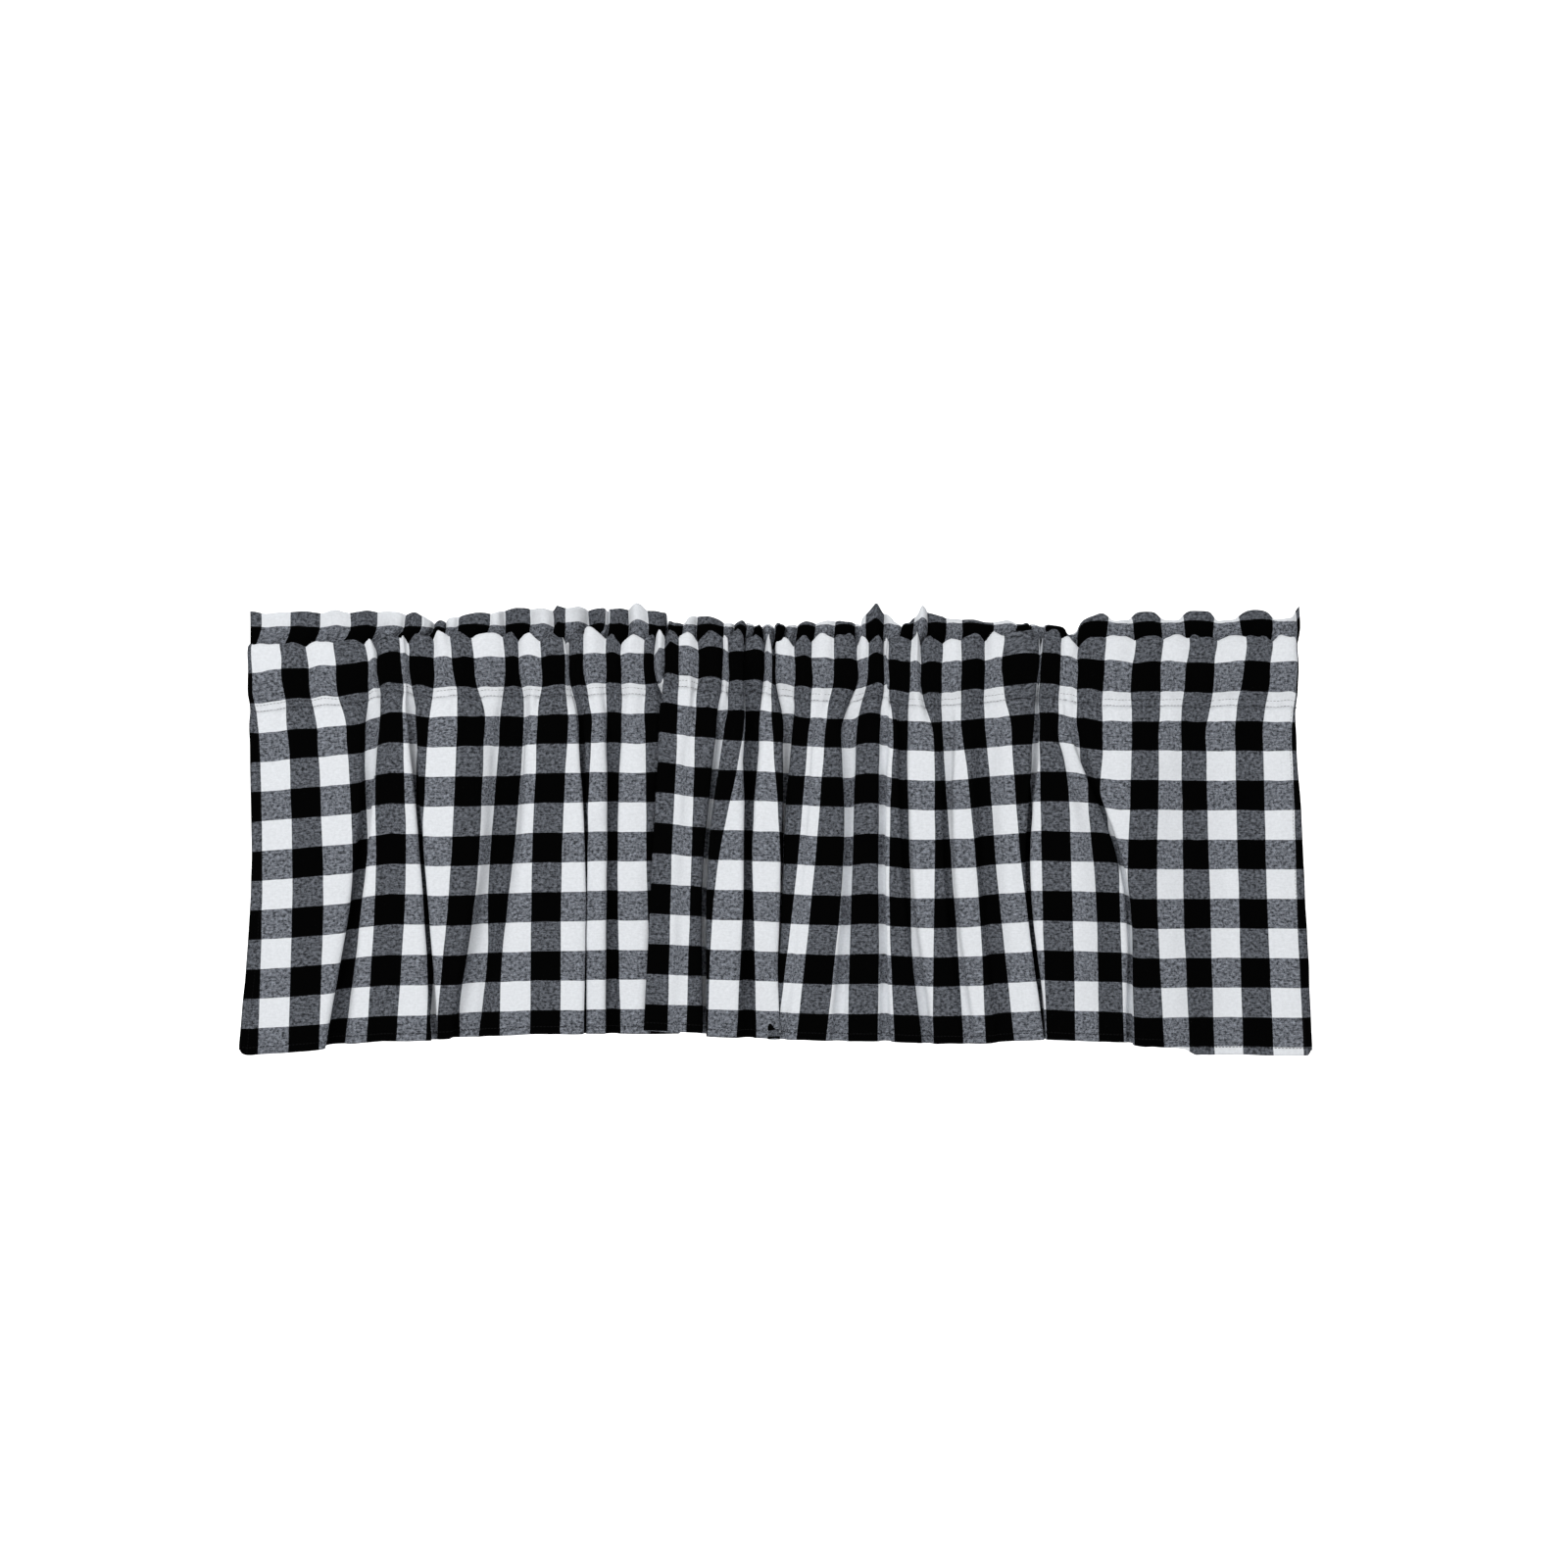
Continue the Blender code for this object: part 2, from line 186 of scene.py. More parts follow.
# At places down the cloth, in checks: how far the cloth usually turns beside the sharpest
# creases and beside the softest folds, in degrees, how deep the folds stay of what their
# cloth would give, and the most depth that a side has for each unit that it spans.
SLOPE_AT = (0.0, 1.3, 4.2, 7.5, 16.0)
SHARPEST = (95, 95, 102, 118, 118)
SOFTEST = (60, 60, 60, 70, 70)
DEPTH_KEPT = (0.7, 0.5, 0.5, 0.8, 0.9)
DEEPEST = (3.0, 1.5, 1.5, 3.0, 3.0)
MOST_DEPTH = 19 * MM
LEAST_SPAN = 2 * MM  # a side that spans less is held to the depth of one that spans this
EASING_ROUNDS = 12
FOLDS_AT_SEAM = 0.6  # share of the depth of the folds that the stitches leave
FOLDS_FREED = 0.8  # checks below the seam over which they get the rest of it back

# Where the gathers bring the cloth
INTO_POCKET = (0.55, 1.5)  # the length over which the ruffle's places become the pocket's
INTO_FOLDS = (2.9, 4.9)  # the length over which the gathers turn into the hanging folds
ROLLED_OUT = 8 * MM  # the spread of the cloth over the rod, near the sides
ROLLED_AT = 1.6  # the length at which it is widest
ROLLED_REACH = 0.6  # and how far up and down from there it goes

# The small gathers that the stitches make
GATHER_DEPTH = 0.5  # in checks, where the cloth on both sides spans nothing
GATHER_BACK = 0.85  # the share of it by which a crease falls back: a ridge stands out the rest
GATHER_SHAPE = 0.7  # under 1 the creases are sharp and the ridges round
GATHER_SAG = 0.25  # how far the cloth drops for each unit that a gather falls back
GATHERS_FLATTEN = 2.8  # the length at which the pocket's gathers start to lose depth
FLATTENED = 0.4  # the share of it that they have lost at the seam
GATHERS_END = 0.8  # checks below the seam over which they fade out
BUNCHED_AT = 27.2  # where along the cloth they are deepest
BUNCHED_REACH = 2.2
BUNCHED_MORE = 0.9
VERY_NARROW = 3.5 * MM  # a check that hangs no wider than this on the pocket is folded away,
TAKEN_ALONG = 0.1  # and takes this share of a check along from each side of it
FOLDED_AWAY = (0.25, 0.05)  # the share of its width that it spans at first, and when hidden
HIDDEN_DEPTH = 0.9  # how far back it goes then, as a share of a gather's depth
HIDDEN_EDGES = 0.8  # the share of their depth that the creases beside it lose

# The outline of the top. The lumps are puckers, drawn out along the cloth.
RUFFLE_LUMPS = 1.2 * MM
RUFFLE_SCALLOPS = 7.5 * MM
SCALLOPED_FROM = (44.5, 46.5)  # where along the cloth the scallops begin
SCALLOPED_TO = (55.0, 55.5)
BLACK_CHECK = 45.85  # the middle of one of those that stand
SCALLOP_SIDE = (-0.8, 0.6)  # its start and end on a wave, -1 mid black check, 1 mid white
TOP_NOTCHES = 0.95  # how far the pocket's top drops for each unit that a gather falls back
TOP_LUMPS = 1.5 * MM

# The skirt's bottom: the row of its stitches pulls it in, and its corners are rounded
HEM_GROOVE = 1.3 * MM
GROOVE_WIDTH = 0.05  # in checks
CORNER = 3 * MM
CORNER_REACH = 0.12  # along the edge, in checks
CORNER_FROM = 0.975  # the share of the way down at which the rounding starts
CORNER_INWARDS = 0.6  # how far it draws the side in for each unit that it lifts the edge

# Crumples, across, deep and up, in mm
CRUMPLE_HANGING = (0.4, 0.9, 0.4)
CRUMPLE_GATHERED = (1.8, 0.8, 1.3)  # more than that where the cloth is gathered
CRUMPLES_FADE = 1.5  # checks below the seam
LARGE_CRUMPLES = (0.75, 0.3, 3.1)  # for each check across and down, and where they start
SMALL_CRUMPLES = (2.1, 1.1, 8.4)
SMALL_SHARE = 0.8
CRUMPLE_SEED = 5
noise.seed_set(CRUMPLE_SEED)

# Puckers beside the lines of stitches: (the line, their depth in mm, their reach in checks)
PUCKERS = ((HEADER_LINE, 0.9, 0.4), (SEAM_LINE, 1.1, 0.7))
PUCKER_LENGTH = 0.56

# Rows of the skirt's mesh: its steps along a fold's side, in checks, and shares of the way
# down, which come closer beside the hem
CHECKS_PER_STEP = 0.125
SKIRT_ROWS = 75
ABOVE_EDGE = np.array([0.36, 0.3, 0.24, 0.18, 0.12, 0.05, 0])
SKIRT_SHARES = np.concatenate([
    np.linspace(0, 1, SKIRT_ROWS + 1)[:-3],
    1 - ABOVE_EDGE / SKIRT_LENGTH,
])

ROWS = [dict(zip(FOLD_COLUMNS, row)) for row in FOLDS]
STANDS = {"ridge": 1.0, "turn": 0.35, "valley": -1.0}  # towards the room, beside its neighbours


def column(name):
    return np.array([row[name] for row in ROWS], float)


CLOTH = np.stack([column("cloth_" + at) for at in STATIONS])
PLACE = np.stack([column("x_" + at) for at in STATIONS]) * MM
SOFT = column("soft")
KIND = np.array([STANDS[row["kind"]] for row in ROWS])
STEPS = [max(3, math.ceil(cut / CHECKS_PER_STEP)) for cut in np.diff(CLOTH, axis=1).max(axis=0)]


def curve_between(t, span, start, end, leaving, arriving):
    """A cubic curve from start to end, at a share t of the span, with a slope at each end."""
    return (
        start * (1 + 2 * t) * (1 - t) ** 2
        + end * t * t * (3 - 2 * t)
        + leaving * span * t * (1 - t) ** 2
        - arriving * span * t * t * (1 - t)
    )


def down_the_cloth(length, values):
    """A smooth curve through one value for each station, read at a length in checks."""
    at = np.array(list(STATIONS.values()))
    length = min(max(length, at[0]), at[-1] + PAST_HEM)
    k = min(int(np.searchsorted(at, length, side="right")) - 1, len(at) - 2)
    slopes = np.gradient(values, at, axis=0)
    span = at[k + 1] - at[k]
    t = (length - at[k]) / span
    return curve_between(t, span, values[k], values[k + 1], slopes[k], slopes[k + 1])


# A fold's side turns by up to an angle and back. These are the shares of its cloth
# that it then spans sideways and in depth.
BEND_SHAPE = 0.7
BEND_PLACE = 0.9  # in a side that is partly flat: 0 is beside the ridge, 1 beside the valley
ANGLES = np.radians(np.arange(0, 179, 2))
TURNING = np.sin(np.linspace(0, np.pi, 61)) ** BEND_SHAPE
SPAN_SHARE = np.cos(np.outer(ANGLES, TURNING)).mean(axis=1)
DEPTH_SHARE = np.sin(np.outer(ANGLES, TURNING)).mean(axis=1)


def bend_of_side(ratio, usual, softness):
    """Angle and share of the cloth in the bend of a side that spans ratio of its cloth."""
    ratio = min(ratio, 0.999)
    gentle = 1 - (1 - ratio) / softness
    usual_span = np.interp(usual, ANGLES, SPAN_SHARE)
    if gentle >= usual_span:
        return np.interp(-gentle, -SPAN_SHARE, ANGLES), softness
    if ratio >= usual_span:
        return usual, (1 - ratio) / (1 - usual_span)
    return np.interp(-ratio, -SPAN_SHARE, ANGLES), 1.0


def side_of_fold(angle, share, cloth):
    """(across, deep) of a side's cloth, from its ridge, at shares of its cloth."""
    fine = np.linspace(0, 1, 121)
    start = BEND_PLACE * (1 - share)
    turn = angle * np.sin(np.pi * np.clip((fine - start) / share, 0, 1)) ** BEND_SHAPE
    step = fine[1]
    across = np.concatenate([[0], np.cumsum((np.cos(turn[1:]) + np.cos(turn[:-1])) / 2 * step)])
    deep = np.concatenate([[0], np.cumsum((np.sin(turn[1:]) + np.sin(turn[:-1])) / 2 * step)])
    return np.interp(cloth, fine, across), np.interp(cloth, fine, deep), across[-1], deep[-1]


def no_deeper(depth, place, most):
    """Brings neighbouring folds closer in depth wherever their side would be too steep."""
    depth = depth.copy()
    room = most * np.maximum(np.abs(np.diff(place)), LEAST_SPAN)
    for _ in range(EASING_ROUNDS):
        side = np.diff(depth)
        excess = np.sign(side) * np.clip(np.abs(side) - room, 0, None) / 2
        depth[:-1] += excess
        depth[1:] -= excess
    return depth


def fold_depths(length, place, used, bends):
    """How far back each fold stands at a length, given the places of the folds and, for
    each side between two of them, the cloth that it uses and its bend."""
    natural = np.array([
        cut * share * np.interp(angle, ANGLES, DEPTH_SHARE)
        for cut, (angle, share) in zip(used, bends)
    ])
    beside = np.concatenate([[natural[0]], natural, [natural[-1]]])
    kept = np.interp(length, SLOPE_AT, DEPTH_KEPT)
    depth = -KIND * (beside[:-1] + beside[1:]) / 4 * kept
    depth = no_deeper(depth, place, np.interp(length, SLOPE_AT, DEEPEST))
    return MOST_DEPTH * np.tanh(depth / MOST_DEPTH)


def wave(length):
    """One thread across the whole cloth at a length in checks from the top, as a dict of
    arrays: u along the cloth, x across, y deep, and the table's heights and rises."""
    cloth = down_the_cloth(length, CLOTH)
    place = down_the_cloth(length, PLACE)
    sharp, gentle = (np.interp(length, SLOPE_AT, turns) for turns in (SHARPEST, SOFTEST))
    usual = np.radians(sharp + (gentle - sharp) * SOFT)
    used = np.diff(cloth) * CHECK
    bends = []
    for i, cut in enumerate(used):
        valley = i if KIND[i] < KIND[i + 1] else i + 1
        bends.append(bend_of_side((place[i + 1] - place[i]) / cut, usual[valley], SOFT[valley]))
    depth = fold_depths(length, place, used, bends)

    xs, ys, us, nodes = [], [], [], []
    for i, (angle, share) in enumerate(bends):
        t = np.linspace(0, 1, STEPS[i] + 1)
        from_ridge = KIND[i] > KIND[i + 1]
        across, deep, span, drop = side_of_fold(angle, share, t if from_ridge else 1 - t)
        if not from_ridge:
            across, deep = span - across, drop - deep
        slack = place[i + 1] - place[i] - used[i] * span
        x = place[i] + used[i] * across + slack * t
        y = depth[i] + (depth[i + 1] - depth[i]) * deep / max(drop, 1e-6)
        keep = slice(None) if i == len(bends) - 1 else slice(-1)
        xs.append(x[keep])
        ys.append(y[keep])
        us.append((cloth[i] + (cloth[i + 1] - cloth[i]) * t)[keep])
        nodes.append((i + t)[keep])
    u, x, y, node = (np.concatenate(part) for part in (us, xs, ys, nodes))
    level = {"u": u, "x": x, "y": y}
    for name in ("ruffle", "top", "rise_seam", "rise_hem"):
        level[name] = np.interp(node, np.arange(len(ROWS)), column(name)) * MM
    return level


def pucker(u):
    """Fine uneven puckers along a line of stitches, from -1 to 1. The waves that make
    them uneven have lengths that don't fit each other, so that nothing repeats."""
    phase = 2 * np.pi * u / PUCKER_LENGTH
    phase = phase + 1.9 * np.sin(1.31 * u + 0.4) + 1.1 * np.sin(3.07 * u + 2.0)
    size = 0.55 + 0.3 * np.sin(0.83 * u + 1.0) + 0.15 * np.sin(2.3 * u)
    return size * np.sin(phase)


def ruffle(up, height):
    """(y, z) of the ruffle at a share of its cloth, from the upper stitches. It stands, and
    where there is more cloth than height, its top bends away from the room."""
    standing = up * np.maximum(HEADER_LINE * CHECK, height + RUFFLE_ROUNDING)
    z = -RUFFLE_ROUNDING * np.logaddexp(-standing / RUFFLE_ROUNDING, -height / RUFFLE_ROUNDING)
    z = z + RUFFLE_ROUNDING * math.log(2) * up
    return RUFFLE_LEAN * np.maximum(standing - z, 0), z


def pocket_front(down, level):
    """(y, z) of the front ply at a share of the pocket's cloth, from the upper stitches."""
    length = HEADER_LINE + down * (SEAM_LINE - HEADER_LINE)
    hanging = level["rise_seam"] - SEAM_DROP + (SEAM_LINE - length) * CHECK
    corner = level["top"] + TOP_ROUNDING * math.log(2)
    reach = SEAM_LINE - (corner - level["rise_seam"] + SEAM_DROP) / CHECK
    climb = corner * (length - HEADER_LINE) / (reach - HEADER_LINE)
    z = -TOP_ROUNDING * np.logaddexp(-hanging / TOP_ROUNDING, -climb / TOP_ROUNDING)
    share, forward = np.transpose(POCKET_BELLY)
    return -smooth_curve(share, forward, down) * MM, z


def pocket_back(down, level):
    """(y, z) of the back ply at a share of the pocket's cloth, from the upper stitches."""
    share, backward = np.transpose(POCKET_BACK)
    return smooth_curve(share, backward, down) * MM, (level["rise_seam"] - SEAM_DROP) * down


def smooth_curve(at, values, x):
    """A smooth curve through the values that never overshoots them."""
    step = np.diff(at)
    slope = np.diff(values) / step
    same_way = slope[:-1] * slope[1:] > 0
    with np.errstate(divide="ignore", invalid="ignore"):
        inner = np.where(same_way, 2 / (1 / slope[:-1] + 1 / slope[1:]), 0)
    ends = np.concatenate([[slope[0]], inner, [slope[-1]]])
    k = np.clip(np.searchsorted(at, x, side="right") - 1, 0, len(step) - 1)
    t = (x - at[k]) / step[k]
    return curve_between(t, step[k], values[k], values[k + 1], ends[k], ends[k + 1])


# The edges of the checks, gathered: where they hang in the ruffle and on the pocket, and
# where they lie along the flat cloth.
GATHER_X = np.array(GATHERS, float).T * MM
GATHER_CLOTH = np.concatenate([[0], FIRST_CHECK + np.arange(len(GATHERS) - 2), [CLOTH_WIDTH]])
for edge in range(2, len(GATHERS) - 3):
    if GATHER_X[1][edge + 1] - GATHER_X[1][edge] < VERY_NARROW:
        GATHER_CLOTH[edge] -= TAKEN_ALONG
        GATHER_CLOTH[edge + 1] += TAKEN_ALONG


def gather_depth(cloth, share_pocket):
    """How far the small gathers fall back. Each check is a ridge, creased at both edges,
    but one that the gathers make very narrow is folded away behind its neighbours."""
    place = GATHER_X[0] * (1 - share_pocket) + GATHER_X[1] * share_pocket
    width = np.diff(place) / np.diff(GATHER_CLOTH) / CHECK
    hidden = ease(width, *FOLDED_AWAY)
    edges = np.arange(len(GATHER_CLOTH))
    creased = crease_depths(width, edges)
    creased[1:-1] *= 1 - HIDDEN_EDGES * np.maximum(hidden[1:], hidden[:-1])
    nearest = np.clip(np.round(cloth - FIRST_CHECK).astype(int) + 1, 0, len(edges) - 1)
    away = np.clip(np.abs(cloth - GATHER_CLOTH[nearest]), 0, 0.5)
    back = creased[nearest] * (GATHER_BACK - np.sin(np.pi * away) ** GATHER_SHAPE)
    check = np.clip(np.searchsorted(GATHER_CLOTH, cloth) - 1, 0, len(width) - 1)
    within = np.clip((cloth - GATHER_CLOTH[check]) / np.diff(GATHER_CLOTH)[check], 0, 1)
    folded = hidden[check] * np.sin(np.pi * within)
    return GATHER_DEPTH * CHECK * (back + HIDDEN_DEPTH * folded)


def crease_depths(width, edges):
    """How deep the crease is at each edge of a check. It is deeper where the checks beside
    it hang narrower, and no two neighbours are alike. There is none at the cloth's sides."""
    spare = np.sqrt(np.clip(1 - width**2, 0, 1))
    creased = np.concatenate([[0], (spare[1:] + spare[:-1]) / 2, [0]])
    creased = creased * (0.7 + 0.3 * np.sin(2.4 * edges)) * (edges > 1)
    from_bunch = (GATHER_CLOTH - BUNCHED_AT) / BUNCHED_REACH
    return creased * (1 + BUNCHED_MORE * np.exp(-(from_bunch**2)))


def ease(value, start, end):
    """A smooth step from 0 at the start to 1 at the end, and level beyond both."""
    t = np.clip((value - start) / (end - start), 0, 1)
    return t * t * (3 - 2 * t)


def scallops(cloth):
    """Near the right end the ruffle stands at each black check and bends back between them."""
    bent = ease(-np.cos(np.pi * (cloth - BLACK_CHECK)), *SCALLOP_SIDE)
    return ease(cloth, *SCALLOPED_FROM) * bent * (1 - ease(cloth, *SCALLOPED_TO))


def points_at(places, along, points):
    """The points at some places of a line, given the line's points and where they are."""
    return np.stack([np.interp(places, along, points[:, axis]) for axis in range(3)], axis=1)


def turned_sides(cloth, length, points, behind):
    """Adds the side hems to a thread: the cloth beyond each side, turned and laid behind.
    Its first row is half as far behind as the rest, which rounds the turn."""
    parts = [(cloth, length, points)]
    share = np.minimum(np.arange(1, len(SIDE_TURN) + 1) / 2, 1)[:, None]
    for side in (0, -1):
        sign = 1 if side == 0 else -1
        turned = cloth[side] + sign * np.array(SIDE_TURN)
        order = slice(None, None, -1) if side == 0 else slice(None)
        spots = points_at(turned, cloth, points) + np.array(behind) * share
        beyond = 2 * cloth[side] - turned
        lengths = np.interp(turned, cloth, length)
        strip = (beyond[order], lengths[order], spots[order])
        parts = [strip] + parts if side == 0 else parts + [strip]
    return tuple(np.concatenate(part) for part in zip(*parts))


def gathered_place(cloth, length):
    """Where the gathers bring the cloth, across the valance. It rolls out over the rod."""
    share_pocket = ease(length, *INTO_POCKET)
    x_ruffle, x_pocket = (smooth_curve(GATHER_CLOTH, place, cloth) for place in GATHER_X)
    side = np.clip(cloth / GATHER_CLOTH[-1], 0, 1) * 2 - 1
    rolled = ROLLED_OUT * side**3 * (1 - side**8)
    rolled = rolled * math.exp(-(((length - ROLLED_AT) / ROLLED_REACH) ** 2))
    return x_ruffle * (1 - share_pocket) + x_pocket * share_pocket + rolled


def gathering(length):
    """How much of the gathers' depth is left at a length down the cloth."""
    below = max(length - SEAM_LINE, 0)
    flattened = FLATTENED * ease(length, GATHERS_FLATTEN, SEAM_LINE)
    return (1 - flattened) * math.exp(-below / GATHERS_END)


def crumples(u, v, scale):
    """A smooth random vector at a place on the cloth, for a scale across and down it."""
    across, down, start = scale
    return noise.noise_vector(Vector((across * u, down * v, start)))


def creases(cloth, length):
    """How far each point is out of place, as vectors: crumples everywhere, longer down the
    cloth than across and stronger where it is gathered, and puckers beside the stitches."""
    shift = np.array([
        crumples(u, v, LARGE_CRUMPLES) + SMALL_SHARE * crumples(u, v, SMALL_CRUMPLES)
        for u, v in zip(cloth, length)
    ])
    below = np.clip(np.abs(length) - SEAM_LINE, 0, None)
    gathered = np.exp(-below / CRUMPLES_FADE)[:, None]
    shift = shift * (np.array(CRUMPLE_HANGING) + gathered * np.array(CRUMPLE_GATHERED)) * MM
    near = sum(
        size * np.exp(-np.abs(np.abs(length) - line) / reach) for line, size, reach in PUCKERS
    )
    shift[:, 1] += pucker(cloth) * near * MM
    return shift


def heading_level(length, ply, gap, up=None, down=None):
    """Cloth, length and points of one thread of the heading. up is a share of the ruffle's
    cloth, down a share of the pocket's, and ply is 1 at the front and -1 at the back."""
    folds = wave(length)
    cloth = np.linspace(folds["u"][0], folds["u"][-1], HEADING_STEPS + 1)
    level = {name: np.interp(cloth, folds["u"], values) for name, values in folds.items()}
    share_folds = ease(length, *INTO_FOLDS)
    gathers = gather_depth(cloth, ease(length, *INTO_POCKET)) * gathering(length)
    x = gathered_place(cloth, length) * (1 - share_folds) + level["x"] * share_folds
    level["top"] = level["top"] - TOP_NOTCHES * gathers + TOP_LUMPS * pucker(0.8 * cloth + 3)

    bulge = 0 if up is not None else math.sin(math.pi * down)
    on_rod = 1 - (1 - FOLDS_ON_ROD) * bulge
    if up is not None:
        lumps = RUFFLE_LUMPS * pucker(0.4 * cloth)
        y, z = ruffle(up, level["ruffle"] + lumps - RUFFLE_SCALLOPS * scallops(cloth))
    elif ply > 0:
        y, z = pocket_front(down, level)
    else:
        y, z = pocket_back(down, level)
    lengths = np.full(len(cloth), length * ply)
    y = y + (FOLDS_AT_SEAM * level["y"] + gathers) * on_rod - gap * ply
    points = np.stack([x, y, z - GATHER_SAG * gathers], axis=1)
    return cloth, lengths, points + creases(cloth, lengths)


def skirt_level(share):
    """Cloth, length and points of the skirt at a share of the way down to the hem."""
    length = SEAM_LINE + share * SKIRT_LENGTH
    level = wave(length)
    cloth = level["u"]
    hung = share * (np.interp(cloth, LENGTH_AT, LENGTH) - SEAM_LINE)
    share_folds = ease(length, *INTO_FOLDS)
    x = gathered_place(cloth, length) * (1 - share_folds) + level["x"] * share_folds
    gathers = gather_depth(cloth, 1.0) * gathering(length)
    held = (1 - FOLDS_AT_SEAM) * math.exp(-(length - SEAM_LINE) / FOLDS_FREED)
    y = level["y"] * (1 - held) + gathers - PLY_GAP * (1 - share)
    from_stitches = (1 - share) * SKIRT_LENGTH - HEM_STITCHES
    y = y + HEM_GROOVE * math.exp(-((from_stitches / GROOVE_WIDTH) ** 2))
    rise = level["rise_seam"] * (1 - share) + level["rise_hem"] * share
    at_left = np.exp(-(cloth - cloth[0]) / CORNER_REACH)
    at_right = np.exp(-(cloth[-1] - cloth) / CORNER_REACH)
    rounding = ease(share, CORNER_FROM, 1.0) ** 2 * CORNER * (at_left - at_right)
    z = rise - SEAM_DROP - hung * CHECK + np.abs(rounding) - GATHER_SAG * gathers
    points = np.stack([x + CORNER_INWARDS * rounding, y, z], axis=1)
    return cloth, SEAM_LINE + hung, points + creases(cloth, SEAM_LINE + hung)


def away_from_room(points, below):
    """Directions square to the cloth and away from the room, at the points of one thread,
    given the same points on a thread a little lower."""
    normal = np.cross(np.gradient(points, axis=0), below - points)
    return normal / (np.linalg.norm(normal, axis=1)[:, None] + 1e-12)


def pocket_level(ply, down):
    """A thread of the pocket, at a share of its cloth down from the upper stitches."""
    length = HEADER_LINE + down * (SEAM_LINE - HEADER_LINE)
    return heading_level(length, ply, PLY_GAP, down=down)


def ruffle_level(ply, up):
    """A thread of the ruffle, at a share of its cloth up from the upper stitches."""
    gap = FOLD_GAP if up > BESIDE_FOLD else PLY_GAP
    return heading_level(HEADER_LINE * (1 - up), ply, gap, up=up)


def heading_levels():
    """From the tail of the back ply, up, over the ruffle, and down the front."""
    levels = []
    cloth = pocket_level(-1, 1.0)[0]
    for below in (TAIL, TAIL / 2):
        along, _, hanging = skirt_level(below / SKIRT_LENGTH)
        spots = points_at(cloth, along, hanging) + np.array([0, 2 * PLY_GAP, 0])
        length = np.full(len(cloth), -SEAM_LINE - below)
        levels.append(turned_sides(cloth, length, spots, (0, -TURNED_GAP, 0)))
    for down in BACK_POCKET_ROWS:
        levels.append(turned_sides(*pocket_level(-1, down), (0, -TURNED_GAP, 0)))
    for up in RUFFLE_ROWS:
        levels.append(turned_sides(*ruffle_level(-1, up), (0, -TURNED_GAP, 0)))
    levels.append(turned_sides(*heading_level(0.0, 1, 0, up=1), (0, 0, -TURNED_GAP)))
    for up in reversed(RUFFLE_ROWS):
        levels.append(turned_sides(*ruffle_level(1, up), (0, TURNED_GAP, 0)))
    for down in FRONT_POCKET_ROWS:
        levels.append(turned_sides(*pocket_level(1, down), (0, TURNED_GAP, 0)))
    return levels


def hem_level(turn):
    """The skirt's thread at a length above its edge, in checks."""
    return skirt_level(1 - turn / SKIRT_LENGTH)


def skirt_levels():
    """From the lower stitches down to the edge, and up again behind it as the hem."""
    levels = []
    for share in SKIRT_SHARES:
        levels.append(turned_sides(*skirt_level(share), (0, TURNED_GAP, 0)))
    for k, turn in enumerate(HEM_TURN):
        cloth, length, points = hem_level(turn)
        out = away_from_room(points, hem_level(turn - LITTLE)[2])
        points = points + out * TURNED_GAP * min((k + 1) / 2, 1)
        levels.append(turned_sides(cloth, length + 2 * turn, points, (0, TURNED_GAP, 0)))
    return levels


def sheet_through(name, levels, material):
    """A sheet of cloth through levels. Its UV map is where each point lies on the flat cloth."""
    across, down = len(levels[0][0]) - 1, len(levels) - 1
    bm = bmesh.new()
    bmesh.ops.create_grid(bm, x_segments=across, y_segments=down, size=1)
    uv = bm.loops.layers.uv.new("cloth")
    flat = {}
    for vert in bm.verts:
        i = round((vert.co.x + 1) / 2 * across)
        j = round((vert.co.y + 1) / 2 * down)
        cloth, length, points = levels[j]
        vert.co = points[i]
        flat[vert] = (cloth[i] * CHECK, length[i] * CHECK)
    for face in bm.faces:
        for loop in face.loops:
            loop[uv].uv = flat[loop.vert]
    sheet = as_piece(name, bm, material)
    thickness = sheet.modifiers.new("Thickness", "SOLIDIFY")
    thickness.thickness = CLOTH_THICKNESS
    thickness.offset = 0
    return sheet


def as_piece(name, bm, material):
    """A smooth-shaded object of one material, from a bmesh that it uses up."""
    mesh = bpy.data.meshes.new(name)
    bm.to_mesh(mesh)
    bm.free()
    mesh.materials.append(material)
    mesh.shade_smooth()
    piece = bpy.data.objects.new(name, mesh)
    bpy.context.collection.objects.link(piece)
    return piece


def one_stitch():
    """The shape that each stitch is a stretched copy of."""
    bm = bmesh.new()
    bmesh.ops.create_uvsphere(bm, u_segments=5, v_segments=4, radius=1)
    shape = bpy.data.meshes.new("stitch")
    bm.to_mesh(shape)
    bm.free()
    return shape


def sew(bm, line, facing, radius=THREAD_RADIUS):
    """Stitches along a line of points, lying on the side of the cloth that facing points to."""
    reach = np.concatenate([[0], np.cumsum(np.linalg.norm(np.diff(line, axis=0), axis=1))])
    raised = line + facing * (CLOTH_THICKNESS / 2 + THREAD_RAISED * radius)
    starts = np.arange(STITCH_PITCH, reach[-1] - STITCH_PITCH, STITCH_PITCH)
    starts_at = points_at(starts, reach, raised)
    ends_at = points_at(starts + STITCH, reach, raised)
    shape = one_stitch()
    for start, end in zip(starts_at, ends_at):
        lie = Vector(end - start)
        size = (radius, radius, lie.length / 2)
        place = Matrix.LocRotScale(Vector((start + end) / 2), lie.to_track_quat("Z", "Y"), size)
        stitch = shape.copy()
        stitch.transform(place)
        bm.from_mesh(stitch)
        bpy.data.meshes.remove(stitch)
    bpy.data.meshes.remove(shape)


